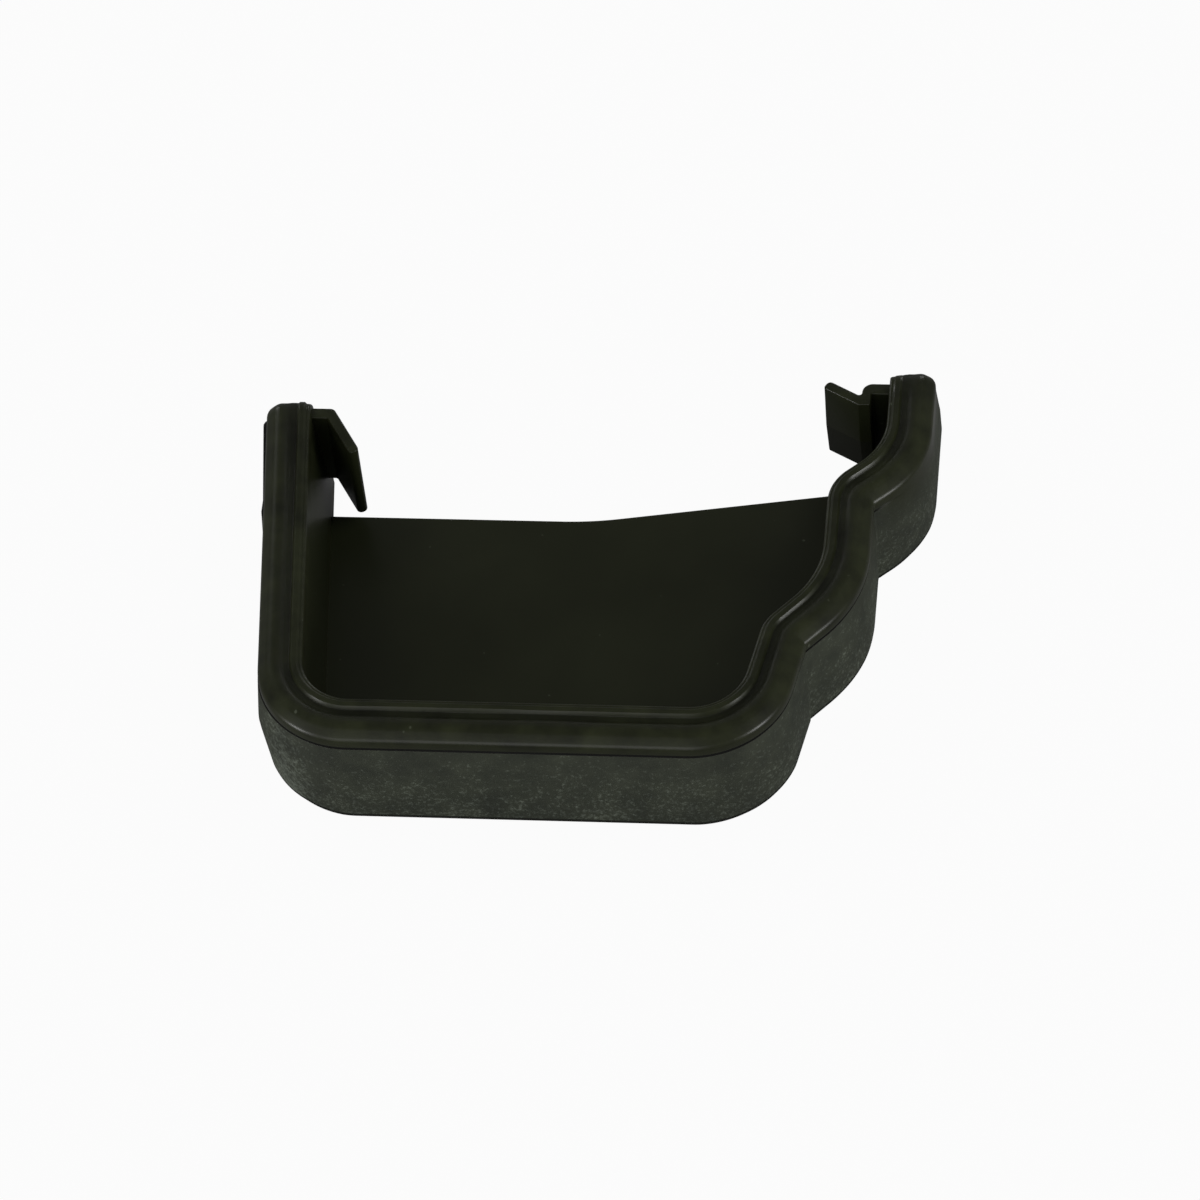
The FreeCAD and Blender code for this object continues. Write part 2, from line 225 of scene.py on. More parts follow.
def outward(headings):
    """Away from the socket: each heading turned a quarter to the right."""
    return np.stack([headings[:, 1], -headings[:, 0]], axis=-1)


ARC_STEP, LINE_STEP = math.radians(2.0), 3.0
trimmed = MOUTH[:, :2].copy()
trimmed[0] -= unit(trimmed[0] - trimmed[1]) * END_ZONE
trimmed[-1] -= unit(trimmed[-1] - trimmed[-2]) * END_ZONE
path, path_heading = chain(trimmed, MOUTH[:, 2], ARC_STEP, LINE_STEP)
path_outward = outward(path_heading)
travelled = np.concatenate([[0], np.cumsum(np.linalg.norm(np.diff(path, axis=0), axis=1))])
print("path", len(path), "points,", travelled[-1].round(1), "mm long")


# %% [markdown]
# ## The collar's section
#
# Cut across, the collar is an upside-down U: an inner wall that tapers into the socket, a
# rim with a raised bead, a groove and a bevelled, rounded edge, and an outer wall with a
# groove under its small overhanging lip and a stepped foot. It is a closed loop of five
# runs: top, roll, outer, ceiling and inner. The inner run has its points at the same
# heights as the outer one, so that a grid that joins them, level by level, can close the
# arm ends.

# %% Helpers for the runs
def inner_face(z):
    """Outward place of the socket's face at a height; it narrows towards the end wall."""
    return -TAPER * (1 - z / (DEPTH - MOUTH_R))


def rounded_run(corners, radii, count):
    """Run of points in which every corner but the ends is an arc of the same count."""
    corners = [np.array(c, float) for c in corners]
    run = [np.array([corners[0]])]
    for before, corner, after, radius in zip(corners, corners[1:], corners[2:], radii):
        run.append(bend(before, corner, after, radius, count)[0])
    run.append(np.array([corners[-1]]))
    return np.concatenate(run)


# %% [markdown]
# The outer run is drawn twice. On the crisp one the lip hangs over a groove, as along the
# back arm and the bottom. On the soft one the same points lie straight below each other,
# as near the end of the front arm, where the wall shows no line.

# %% The outer run, crisp and soft, and the inner run
HAIR = 0.003
crisp_side = rounded_run(
    [(RIM, DEPTH - ROLL_R), (RIM, LIP_Z), (RIM - CREASE_DEPTH, LIP_Z),
     (WALL_TOP, LIP_Z - CREASE_HEIGHT), (WALL_PARTING, PARTING_Z), (WALL_FOOT, FOOT_HEIGHT),
     (FOOT, FOOT_HEIGHT), (FOOT, 0.0), (WALL_FOOT - WALL, 0.0), (WALL_TOP - WALL, BAY_Z)],
    [0.2, 0.06, 0.2, 60.0, 0.12, 0.06, 0.3, 0.2], 4)
SKIN_LEVELS = 29
LIP_AND_CREASE, IN_CREASE, UPPER_EDGE, ON_WALL, AT_FOOT = (
    slice(1, 13), slice(4, 10), slice(11, 13), slice(11, 19), slice(20, 26))
soft_side = crisp_side.copy()
soft_side[LIP_AND_CREASE, 0] = RIM
soft_side[LIP_AND_CREASE, 1] = np.linspace(LIP_Z + 0.2, LIP_Z - CREASE_HEIGHT - 0.2, 12)

# Each level of the inner run is a hair lower than the one before, so that none merge.
falling = crisp_side[:SKIN_LEVELS, 1] - HAIR * np.arange(SKIN_LEVELS)
falling = np.minimum.accumulate(falling).clip(0.0)
bay_side = rounded_run([(inner_face(0.0), 0.0), (inner_face(0.0) + WALL, 0.0), (WALL, BAY_Z)], [0.2], 4)
inner_run = np.concatenate([np.stack([inner_face(falling), falling], axis=-1), bay_side[1:]])
print("outer run", len(crisp_side), "points, inner run", len(inner_run))

# %% The top, the roll and the ceiling of the bay
quarter = np.linspace(0, math.pi / 2, 6)
mouth_edge = np.stack([MOUTH_R * (1 - np.cos(quarter)),
                       DEPTH - MOUTH_R * (1 - np.sin(quarter))], axis=-1)
bead_run = rounded_run(
    [(MOUTH_R + 0.05, DEPTH), (BEAD_START, DEPTH), (BEAD_START + BEAD_SIDE, DEPTH + BEAD_HEIGHT),
     (BEAD_END - BEAD_SIDE, DEPTH + BEAD_HEIGHT), (BEAD_END, DEPTH - DIP),
     (BEAD_END + DIP_FOOT, DEPTH - DIP)], [0.12, 0.14, 0.16, 0.3], 5)
trough_run = rounded_run(
    [(BEAD_END + DIP_FOOT, DEPTH - DIP), (TROUGH_END - 0.8, DEPTH - DIP),
     (TROUGH_END, DEPTH - 0.08), (RIM - ROLL_R, DEPTH)], [0.8, 1.8], 6)[1:]
top_run = np.concatenate([mouth_edge, bead_run, trough_run])
bevel_drop = (RIM - BEVEL_START) * math.tan(math.radians(BEVEL_ANGLE))
roll_run = rounded_run([(RIM - ROLL_R, DEPTH), (BEVEL_START, DEPTH), (RIM, DEPTH - bevel_drop),
                        (RIM, DEPTH - ROLL_R)], [2.6, 1.7], 9)[1:-1]
ceiling_run = np.stack([np.linspace(WALL_TOP - WALL, WALL, len(top_run)),
                        np.full(len(top_run), BAY_Z)], axis=-1)
print("top", len(top_run), "points, roll", len(roll_run), "and ceiling", len(ceiling_run))

# %% The closed section
runs = [top_run, roll_run, crisp_side, ceiling_run[1:-1], inner_run[::-1]]
crisp_section = np.concatenate(runs)
starts = np.cumsum([0] + [len(run) for run in runs])
TOP, ROLL, OUTER, CEILING, INNER = (slice(a, b) for a, b in zip(starts, starts[1:]))
soft_section = crisp_section.copy()
soft_section[OUTER] = soft_side
print("section", len(crisp_section), "points")


# %% [markdown]
# ## Arm ends
#
# At the end of each arm the rolled rim turns round the corner and comes down as a quarter
# ball. The whole skin is shrunk inwards while it is pushed towards the end: at an angle a
# of the roll it has moved in by r(1 - cos a) and forward by r sin a. The bead comes down
# over the end with it, while the groove beside the bead runs out before. What is left at
# a quarter turn is a flat face, which a plain grid closes.

# %% Rows of points that roll an arm's end over
lift = np.clip((crisp_section[:, 1] - (DEPTH - ROLL_R)) / ROLL_R, 0, 1)
relief = np.zeros(len(crisp_section))
relief[TOP] = np.where(top_run[:, 0] >= MOUTH_R, top_run[:, 1] - DEPTH, 0.0)
in_bay = np.zeros(len(crisp_section), bool)
in_bay[CEILING] = True
in_bay[OUTER] = np.arange(len(crisp_side)) >= SKIN_LEVELS
in_bay[INNER] = (np.arange(len(inner_run)) >= SKIN_LEVELS)[::-1]


def level_inset(section):
    """How far each level of a section stands back from the rim, at the arm's closed face."""
    in_skin = np.arange(len(crisp_side)) < SKIN_LEVELS
    levels = np.where(in_skin, section[OUTER, 0] - RIM, -(WALL + OVERHANG))
    inset = np.zeros(len(section))
    inset[OUTER], inset[INNER] = levels, levels[::-1]
    inset[CEILING] = -(WALL + OVERHANG)
    return inset


def rolled_section(section, angle):
    """The section's points once the roll has turned by an angle, without their relief."""
    shrink = ROLL_R * (1 - math.cos(angle))
    u, z = section[:, 0].copy(), section[:, 1] - relief
    z -= shrink * lift
    share = (ROLL_R - shrink) / ROLL_R
    u[ROLL] = RIM - ROLL_R + (section[ROLL, 0] - RIM + ROLL_R) * share
    z[ROLL] = DEPTH - ROLL_R + (section[ROLL, 1] - DEPTH + ROLL_R) * share
    u[OUTER] -= np.where(in_bay[OUTER], 0.0, shrink)
    on_edge = np.clip(1 - top_run[:, 0] / MOUTH_R, 0, 1)
    u[TOP] += on_edge * inner_face(np.minimum(z[TOP], DEPTH - MOUTH_R))
    return u, z


def end_place(section, u, z, slope, reach):
    """How far along the arm its closed face lies: it slopes across and leans in depth."""
    lean = reach * np.clip(1 - z / LIP_Z, 0, 1)
    return END_ZONE + u * math.tan(math.radians(slope)) + level_inset(section) + lean


def arm_rows(section, foot, along, away, slope, reach, bead_left):
    """Rows from the arm's cut to its closed face: straight ones, then the rolled ones.

    The groove beside the bead runs out on the way, and a share of the bead is left.
    """
    rows = []
    bead, groove = np.clip(relief, 0, None), np.clip(relief, None, 0)
    u, z = rolled_section(section, 0.0)
    straight = end_place(section, u, z, slope, reach) - ROLL_R
    for share in np.linspace(0, 1, 6)[1:]:
        standing = bead * (1 + (bead_left - 1) * share) + groove * (1 - share)
        rows.append((u, z + standing, straight * share))
    for angle in np.linspace(0, math.pi / 2, 10)[1:]:
        u, z = rolled_section(section, angle)
        push = ROLL_R * math.sin(angle)
        push = np.where(in_bay, min(push, ROLL_R - WALL - OVERHANG), push)
        forward = end_place(section, u, z, slope, reach) - ROLL_R + push
        standing = bead * bead_left
        rows.append((u, z + standing * math.cos(angle), forward + standing * math.sin(angle)))
    return np.stack([np.column_stack([foot + np.outer(u, away) + np.outer(s, along), z])
                     for u, z, s in rows])


def closing_grid(row):
    """Flat closed face: each level runs from the inner run to the outer one."""
    inner, outer = row[INNER][::-1], row[OUTER]
    top, ceiling = row[TOP], row[CEILING][::-1]
    share = np.linspace(0, 1, len(top))[None, :, None]
    grid = inner[:, None] + (outer - inner)[:, None] * share
    grid[0, :] = top
    grid[-1, 1:-1] = ceiling
    return np.concatenate([top[None], grid[1:]])


back_rows = arm_rows(crisp_section, path[0], -path_heading[0], path_outward[0],
                     BACK_SLOPE, reach=0.0, bead_left=0.9)
front_rows = arm_rows(soft_section, path[-1], path_heading[-1], path_outward[-1],
                      FRONT_SLOPE, reach=FRONT_REACH, bead_left=0.35)
print("arm ends", back_rows.shape, front_rows.shape)

# %% [markdown]
# ## The collar
#
# The section is set up at every point of the path, and the two arm ends are put on the
# ends of that grid. Each row is a mix of the crisp section and the soft one: the groove
# under the lip gets faint along the belly, is sharp again round the upper hollow bend,
# and then fades out. Real mouldings are never quite even, so the heights of the bead and
# the groove beside it drift a little along the path, as a sum of a few slow waves.

# %% Carry the section along the path
def slow_drift(length, lengths):
    """Unevenness between about -1 and 1: sine waves whose lengths share no factor."""
    return sum(np.sin(length / step + order) for order, step in enumerate(lengths)) / len(lengths)


# How crisp the section is, by the distance along the path from the upper hollow bend.
hollow = travelled[np.argmin(np.linalg.norm(path - UPPER_HOLLOW, axis=1))]
crispness = np.interp(travelled - hollow, [-26.0, -7.0, -4.6, -3.4, 3.8, 9.5],
                      [1.0, 0.25, 0.25, 1.0, 1.0, 0.0])[:, None, None]
section = crisp_section * crispness + soft_section * (1 - crispness)
flat = path[:, None] + section[:, :, :1] * path_outward[:, None]
height = section[:, :, 1].copy()
fade = np.clip(np.minimum(travelled, travelled[-1] - travelled) / 6.0, 0, 1)
bead_drift = 0.2 * slow_drift(travelled, (3.1, 7.3, 17.9)) * fade
groove_drift = 0.3 * slow_drift(travelled, (4.7, 11.3, 23.1)) * fade
height += np.clip(relief, 0, None) * bead_drift[:, None]
height += np.clip(relief, None, 0) * groove_drift[:, None]
middle_rows = np.concatenate([flat, height[..., None]], axis=-1)
collar_grid = np.concatenate([back_rows[::-1], middle_rows, front_rows])
print("collar grid", collar_grid.shape)

# %% [markdown]
# The outer wall of the back arm bellies out under its lip and round the heel, and near the
# arm's end a narrow strip stands out further and ends in a small pip. At the heel, at the
# toe and along the front the foot is tucked in. These forms are pressed out of the grid
# along the outward direction: the push is a profile over the depth times a share along
# the path, which is read off the compass bearing of the outward direction.

# %% Belly, strip and tucked foot of the outer wall
def rows_of(values):
    """Values along the path, with the first and the last repeated over the arm ends' rows."""
    ends = len(back_rows)
    return np.concatenate([np.repeat(values[:1], ends, axis=0), values,
                           np.repeat(values[-1:], ends, axis=0)])


bearing = np.degrees(np.arctan2(path_outward[:, 1], path_outward[:, 0])) % 360.0
back_share = np.interp(bearing, [193.0, 240.0], [1.0, 0.0]) * (travelled < travelled[-1] / 2)
tuck_share = np.interp(bearing, [205.0, 235.0, 262.0, 275.0, 300.0, 325.0, 345.0],
                       [0.0, 1.0, 0.0, 0.0, 0.7, 0.7, 0.0]) * np.where(travelled > hollow, 1.8, 1.0)
# Pushes in mm by the height, and for the strip also by the place along the arm.
skin = collar_grid[:, OUTER][:, :SKIN_LEVELS]
depth_at, along_arm = skin[..., 2], skin[..., 1]
belly = np.interp(depth_at, [0.0, 12.0, 21.0, 22.3, 22.5], [0.25, 1.1, 0.5, 0.42, 0.0])
strip = np.interp(along_arm, [48.6, 49.0, 49.7, 50.2, 71.8, 72.8], [0.0, 0.5, 0.5, 0.2, 0.72, 0.0])
strip *= np.interp(depth_at, [15.0, 20.5, 22.3, 22.4], [0.0, 1.0, 1.0, 0.0])
tuck = np.interp(depth_at, [0.0, 9.0], [-0.35, 0.0])
push = (belly + strip) * rows_of(back_share)[:, None] + tuck * rows_of(tuck_share)[:, None]
skin[..., :2] += push[..., None] * rows_of(path_outward)[:, None]
print("outer wall pushed by", push.min().round(2), "to", push.max().round(2), "mm")

# %% [markdown]
# The finish of each point is 1 on the finely grained wall, a little more at the heel,
# where a pool of light is painted, and 0 on smooth plastic. Below 0 is painted shade: in
# the crease under the lip where that is crisp, at the step of the foot, and unevenly in
# the groove beside the bead.

# %% Finish of the collar's surface, with painted light and shade
def on_outer(places, value):
    """One value per point of the section: the given one at those places of the outer run."""
    mask = np.zeros(len(crisp_section))
    mask[OUTER][places] = value
    return mask


rough, smooth_top = on_outer(ON_WALL, 1.0), on_outer(UPPER_EDGE, 1.0)
# Painted shade in the crease under the lip, where it is crisp, and along the step of the foot.
crease_shade, foot_shade = on_outer(IN_CREASE, 1.0), on_outer(AT_FOOT, 0.8)
# Painted shade in the groove beside the bead, uneven along the path.
groove_shade = np.zeros(len(crisp_section))
groove_shade[TOP] = np.interp(
    top_run[:, 0], [BEAD_END - 0.1, BEAD_END, TROUGH_END - 0.6, RIM - ROLL_R], [0.0, 0.6, 0.5, 0.15])
crisp = rows_of(crispness[:, 0, 0])[:, None]
# Painted pool of light on the outer wall round the heel.
heel_light = np.interp(bearing * (travelled < hollow - 60.0), [196.0, 222.0, 248.0], [0.0, 0.9, 0.0])
groove_shade_share = 0.75 + 0.5 * slow_drift(travelled, (2.3, 5.9, 13.7))
# Grain, plus painted light at the heel, minus painted shade in the crease, at the foot and in the
# groove.
finish_and_light = (rough * (1 + rows_of(heel_light)[:, None]) - smooth_top * (1 - crisp) - crease_shade * crisp**2
          - foot_shade - groove_shade * rows_of(groove_shade_share)[:, None])
print("finish from", finish_and_light.min().round(2), "to", finish_and_light.max().round(2))

# %% The finished collar
closed_ends = [closing_grid(collar_grid[0]), closing_grid(collar_grid[-1])]
collar = mesh_piece(
    "collar", [(collar_grid, True)] + [(grid, False) for grid in closed_ends],
    finish_and_light=[finish_and_light] + [np.zeros(grid.shape[:2]) for grid in closed_ends])

# %% [markdown]
# ## The end wall
#
# The end wall is a flat sheet that fills the foot of the socket. Every ray from its
# middle meets its outline once. Rings that shrink towards the middle therefore cover it,
# and the first few rings form the fillet along the collar and the rounded free edge. Its
# outline lies just inside the plastic of the collar's inner wall.

# %% Outline of the end wall
SHEET = 2.4
SHEET_HEIGHT = 63.8
SHEET_BEND = 48.8
SHEET_BEND_R = 70.0
FILLET_R = 0.06
FREE_EDGE_R = 0.35
SEAT = -1.7
MIDDLE = (50.0, 34.0)


def top_edge(x):
    """Height of the free edge: level up to the bend, then rising."""
    return SHEET_HEIGHT + np.clip(x - SHEET_BEND, 0, None) * math.tan(math.radians(FRONT_SLOPE))


def fillet(distance, radius):
    """Height of a quarter-round fillet at a distance from the corner."""
    gap = np.clip(radius - distance, 0, None)
    return radius - np.sqrt(radius**2 - gap**2)


seat = path + SEAT * path_outward
below = seat[:, 1] < top_edge(seat[:, 0])
seat, seat_inward = seat[below], -path_outward[below]
left, right = seat[0], seat[-1]
free, free_heading = chain(
    [(right[0], top_edge(right[0])), (SHEET_BEND, SHEET_HEIGHT), (left[0], SHEET_HEIGHT)],
    [0.0, SHEET_BEND_R, 0.0], ARC_STEP / 2, LINE_STEP)
rim_loop = np.concatenate([seat, free])
inward = np.concatenate([seat_inward, np.stack([-free_heading[:, 1], free_heading[:, 0]], axis=-1)])
on_collar = np.concatenate([np.ones(len(seat)), np.zeros(len(free))])
on_collar *= np.clip((top_edge(rim_loop[:, 0]) - rim_loop[:, 1]) / 2.0, 0, 1)
print("end wall outline", len(rim_loop), "points")


# %% Rings of the end wall
def sheet_ring(distance, top):
    """Ring at a distance from the outline, on the upper or the lower side of the sheet."""
    plan = rim_loop + inward * distance
    edge = fillet(distance, FREE_EDGE_R) * (1 - on_collar)
    z = SHEET + fillet(distance, FILLET_R) * on_collar - edge if top else edge * np.ones(len(plan))
    return np.column_stack([plan, z])


near = [0.9, 0.7, 0.52, 0.36, 0.22, 0.1, 0.03, 0.0]
upper = [sheet_ring(d, True) for d in near]
lower = [sheet_ring(d, False) for d in near[::-1]]
shares = np.linspace(0, 1, 12)[:-1, None]
upper_middle, lower_middle = np.array([*MIDDLE, SHEET]), np.array([*MIDDLE, 0.0])
upper_fan = [upper_middle + (upper[0] - upper_middle) * k for k in shares]
lower_fan = [lower_middle + (lower[-1] - lower_middle) * k for k in shares[::-1]]
end_wall = mesh_piece("end_wall", [(np.stack(upper_fan + upper + lower + lower_fan), True)])

# %% [markdown]
# ## The clips
#
# Both clips are drawn in plan and stand up from near the foot of the collar almost to
# its rim. A prism whose two ends are rounded has the same outline at each level, only a
# little smaller near the ends.

# %% Outlines, and a prism with rounded ends
SOFT_EDGE = 0.3


def closed_outline(corners, radii, arc_step):
    """Points round a closed outline: only the arcs, because straights need none."""
    corners = np.asarray(corners, float)
    arcs = []
    for before, corner, after, radius in zip(np.roll(corners, 1, axis=0), corners,
                                             np.roll(corners, -1, axis=0), radii):
        turn = math.acos(np.clip(unit(corner - before) @ unit(after - corner), -1, 1))
        arcs.append(bend(before, corner, after, radius, max(2, round(turn / arc_step) + 1))[0])
    return np.concatenate(arcs)


def shrunk(outline, by):
    """The outline moved inwards along its normals, which are the mean of both sides'."""
    sides = unit(np.roll(outline, -1, axis=0) - outline)
    tangent = unit(sides + np.roll(sides, 1, axis=0))
    normal = np.stack([-tangent[:, 1], tangent[:, 0]], axis=-1)
    x, y = outline.T
    area = np.sum(x * np.roll(y, -1) - y * np.roll(x, -1))
    return outline + normal * by * np.sign(area)


def prism(name, levels, shade_below=0.0):
    """Closed prism through outlines at rising heights, with a quarter-round at both ends.

    Below the given height it is painted a little darker, as painted shade.
    """
    quarter = np.linspace(0, math.pi / 2, 5)
    (low_z, low_outline), (high_z, high_outline) = levels[0], levels[-1]
    rows = [(low_z + SOFT_EDGE * (1 - math.cos(a)), shrunk(low_outline, SOFT_EDGE * (1 - math.sin(a))))
            for a in quarter]
    rows += levels[1:-1]
    rows += [(high_z - SOFT_EDGE * (1 - math.cos(a)),
              shrunk(high_outline, SOFT_EDGE * (1 - math.sin(a)))) for a in quarter[::-1]]
    grid = np.stack([np.column_stack([plan, np.full(len(plan), z)]) for z, plan in rows])
    # Painted shade below the given height.
    lower_shade = np.where(grid[..., 2] < shade_below, -0.35, 0.0)
    return mesh_piece(name, [(grid, True)], caps=[grid[0], grid[-1]], finish_and_light=[lower_shade], sharp=30.0)


# %% [markdown]
# The hook hangs on the back arm: a short bar, a knee and a slanted leg. The gutter's back
# edge springs in between the leg and the arm.

# %% Hook on the back arm
HOOK_TOP = BACK_HEIGHT - 1.5
HOOK_FOOT, HOOK_HEAD = 6.0, DEPTH - 1.6
HOOK_BAR = 2.5
HOOK_KNEE = 4.6
HOOK_LEG = 12.1
HOOK_WIDTH = 2.2
HOOK_ANGLE = math.radians(31.0)
CURVE_STEP = math.radians(8.0)
EMBEDDED_R = 0.01

back_edge = -HOOK_TOP * math.tan(math.radians(BACK_SLOPE))
root = back_edge - WALL / 2
down = np.array([math.sin(HOOK_ANGLE), -math.cos(HOOK_ANGLE)])
inwards = np.array([-math.cos(HOOK_ANGLE), -math.sin(HOOK_ANGLE)])
knee = np.array([back_edge + HOOK_KNEE, HOOK_TOP])
outer_tip = knee + down * HOOK_LEG
inner_tip = outer_tip + inwards * HOOK_WIDTH
bar_low = HOOK_TOP - HOOK_BAR
inner_knee = inner_tip - down * (bar_low - inner_tip[1]) / math.cos(HOOK_ANGLE)
hook_outline = closed_outline(
    [(root, bar_low), inner_knee, inner_tip, outer_tip, knee, (root, HOOK_TOP)],
    [EMBEDDED_R, 0.65, 1.0, 1.0, 1.3, EMBEDDED_R], CURVE_STEP)
hook = prism("back_hook", [(HOOK_FOOT, hook_outline), (HOOK_HEAD, hook_outline)])

# %% [markdown]
# The catch sits inside the front arm's end. Its leg is drafted both ways from the line
# where the mould parts, so its lower face has a faint crease near half way. Below that
# crease it is darker with painted shade.

# %% Catch in the front arm
CATCH_TOP = FRONT_HEIGHT - 1.9
CATCH_FOOT, CATCH_HEAD = 5.2, DEPTH - 2.0
CATCH_CREASE = CATCH_FOOT + 8.5
CATCH_BAR = 2.6
CATCH_REACH = 3.7
CATCH_WEB = 1.8
CATCH_VALLEY = 3.3
CATCH_HEEL = 5.4
CATCH_THICKNESS = 2.1
CATCH_LEG = 7.8
CATCH_ANGLE = math.radians(30.0)
CATCH_SWELL = 0.35


def catch_outline(swell):
    """Plan of the catch; the lower face of its leg stands out by the swell."""
    web = MOUTH[-1, 0] - CATCH_REACH
    out = np.array([-math.cos(CATCH_ANGLE), math.sin(CATCH_ANGLE)])
    under = np.array([-math.sin(CATCH_ANGLE), -math.cos(CATCH_ANGLE)])
    valley = np.array([web - CATCH_WEB, CATCH_TOP - CATCH_VALLEY])
    upper_tip = valley + out * CATCH_LEG
    lower_tip = upper_tip + under * (CATCH_THICKNESS + swell)
    heel_y = CATCH_TOP - CATCH_HEEL - swell
    heel = lower_tip - out * (lower_tip[1] - heel_y) / math.sin(CATCH_ANGLE)
    wall = MOUTH[-1, 0] + WALL / 2
    return closed_outline(
        [(wall, CATCH_TOP), (web - CATCH_WEB, CATCH_TOP), valley, upper_tip, lower_tip, heel,
         (web, heel_y), (web, CATCH_TOP - CATCH_BAR), (wall, CATCH_TOP - CATCH_BAR)],
        [EMBEDDED_R, 2.1, 0.6, 1.0, 0.6, 0.6, 0.3, 0.3, EMBEDDED_R], CURVE_STEP)


plain_outline, swollen_outline = catch_outline(0.0), catch_outline(CATCH_SWELL)
catch = prism("front_catch", [(CATCH_FOOT, plain_outline), (CATCH_CREASE - 0.15, swollen_outline),
                              (CATCH_CREASE, swollen_outline), (CATCH_HEAD, plain_outline)],
              shade_below=CATCH_CREASE - 0.1)

# %% [markdown]
# ## The plastic
#
# The moulding is black PVC with an olive cast. Its smooth faces have a satin sheen that
# wanders a little, as moulded plastic does where it cooled unevenly. The rim is faintly
# mottled. The mould left the collar's outer wall finely grained, so it is dull, speckled
# and paler. It is made paler still towards its foot, and at the heel, where a pool of
# light is painted. One node group gives colour, roughness and relief from the finish that
# each point carries, with its painted light and shade. It is built with a few helpers that
# each add one node and hand back its output.

# %% Helpers that add one node
def feed(tree, socket, value):
    """Give a socket another node's output, or a constant of its own."""
    if isinstance(value, bpy.types.NodeSocket):
        tree.links.new(value, socket)
    else:
        socket.default_value = value


def add_node(tree, kind, **values):
    """New node with the given input values, by socket name."""
    node = tree.nodes.new(kind)
    for name, value in values.items():
        node.inputs[name].default_value = value
    return node


def math_node(tree, operation, first, second):
    """The operation done on two numbers, of which at least one changes over the surface."""
    node = tree.nodes.new("ShaderNodeMath")
    node.operation = operation
    feed(tree, node.inputs[0], first)
    feed(tree, node.inputs[1], second)
    return node.outputs[0]


def limited(tree, value, top=1.0):
    """The value kept between 0 and the top."""
    return math_node(tree, "MINIMUM", math_node(tree, "MAXIMUM", value, 0.0), top)


def noise(tree, place, scale, detail, roughness):
    """Smooth random pattern between 0 and 1, with so many waves per metre."""
    node = add_node(tree, "ShaderNodeTexNoise", Scale=scale, Detail=detail, Roughness=roughness)
    tree.links.new(place, node.inputs["Vector"])
    return node.outputs["Fac"]


def ramp(tree, value, stops):
    """Colour read off between two stops, each a position and a colour."""
    node = tree.nodes.new("ShaderNodeValToRGB")
    for element, (position, colour) in zip(node.color_ramp.elements, stops):
        element.position, element.color = position, (*colour, 1.0)
    tree.links.new(value, node.inputs["Fac"])
    return node.outputs["Color"]


def mixed(tree, share, first, second, blend="MIX"):
    """First colour with so large a share of the second mixed, added or multiplied in."""
    node = tree.nodes.new("ShaderNodeMix")
    node.data_type, node.blend_type = "RGBA", blend
    for name, value in (("Factor", share), ("A", first), ("B", second)):
        feed(tree, node.inputs[name], value)
    return node.outputs["Result"]


# %% [markdown]
# The smooth plastic wanders between two olive blacks. On the rim that colour is scaled up
# and down in small blotches, and a few specks of dust are added to it everywhere. The
# grained wall's specks are noise at two scales, where only the peaks reach the pale end
# of the ramp. Their sum is lifted towards the foot, and at the heel by a painted pool of
# light.

# %% Colours of the smooth plastic and of the grained wall
RIM_FROM, RIM_FADE = 0.0225, 0.002
FOOT_FADE = 0.016


def smooth_colour(tree, place, cloud, blotch, height):
    """Olive black x (1 + mottling on the rim) + dust."""
    tint = ramp(tree, cloud, [(0.36, (0.0088, 0.0102, 0.0042)), (0.66, (0.0112, 0.0130, 0.0054))])
    above = math_node(tree, "SUBTRACT", height, RIM_FROM)
    on_rim = limited(tree, math_node(tree, "DIVIDE", above, RIM_FADE))
    mottle = math_node(tree, "MULTIPLY", math_node(tree, "SUBTRACT", blotch, 0.48),
                       math_node(tree, "MULTIPLY", on_rim, 2.2))
    mottled = tree.nodes.new("ShaderNodeVectorMath")
    mottled.operation = "SCALE"
    tree.links.new(tint, mottled.inputs[0])
    tree.links.new(math_node(tree, "ADD", 1.0, mottle), mottled.inputs["Scale"])
    dust = ramp(tree, noise(tree, place, 800.0, 0.0, 0.5),
                [(0.85, (0.0, 0.0, 0.0)), (0.91, (0.03, 0.034, 0.026))])
    return mixed(tree, 1.0, mottled.outputs[0], dust, "ADD")


def grained_colour(tree, place, grain, blotch, height, painted_heel_light):
    """Ramp over grain / 2 + flecks / 2 + lift, times the blotches."""
    flecks = math_node(tree, "ADD", math_node(tree, "MULTIPLY", grain, 0.5),
                       math_node(tree, "MULTIPLY", noise(tree, place, 1100.0, 2.0, 0.6), 0.5))
    near_foot = math_node(tree, "SUBTRACT", 1.0, math_node(tree, "DIVIDE", height, FOOT_FADE))
    # The lift is random blotches plus the painted light at the heel.
    lift = math_node(tree, "ADD", math_node(tree, "MULTIPLY", blotch, 0.12),
                     math_node(tree, "MULTIPLY", painted_heel_light, 0.13))
    lifted = math_node(tree, "ADD", math_node(
        tree, "ADD", flecks, math_node(tree, "MULTIPLY", near_foot, 0.07)), lift)
    specks = ramp(tree, lifted, [(0.61, (0.0225, 0.0255, 0.0175)), (0.84, (0.092, 0.103, 0.084))])
    shade = ramp(tree, blotch, [(0.3, (0.70, 0.72, 0.73)), (0.7, (1.25, 1.26, 1.23))])
    return mixed(tree, 1.0, specks, shade, "MULTIPLY")


# %% [markdown]
# The finish is split into three masks: the grained share, what goes beyond 1, which is
# painted light at the heel, and the painted shade below 0. Both the grain and the painted
# shade make the surface duller, and the grain also stands out a little.

# %% Node group for moulded plastic
# Colour of the painted shade: in the crease, at the foot, in the groove and on the catch's lower part.
PAINTED_SHADE = (0.0015, 0.0016, 0.0010, 1.0)


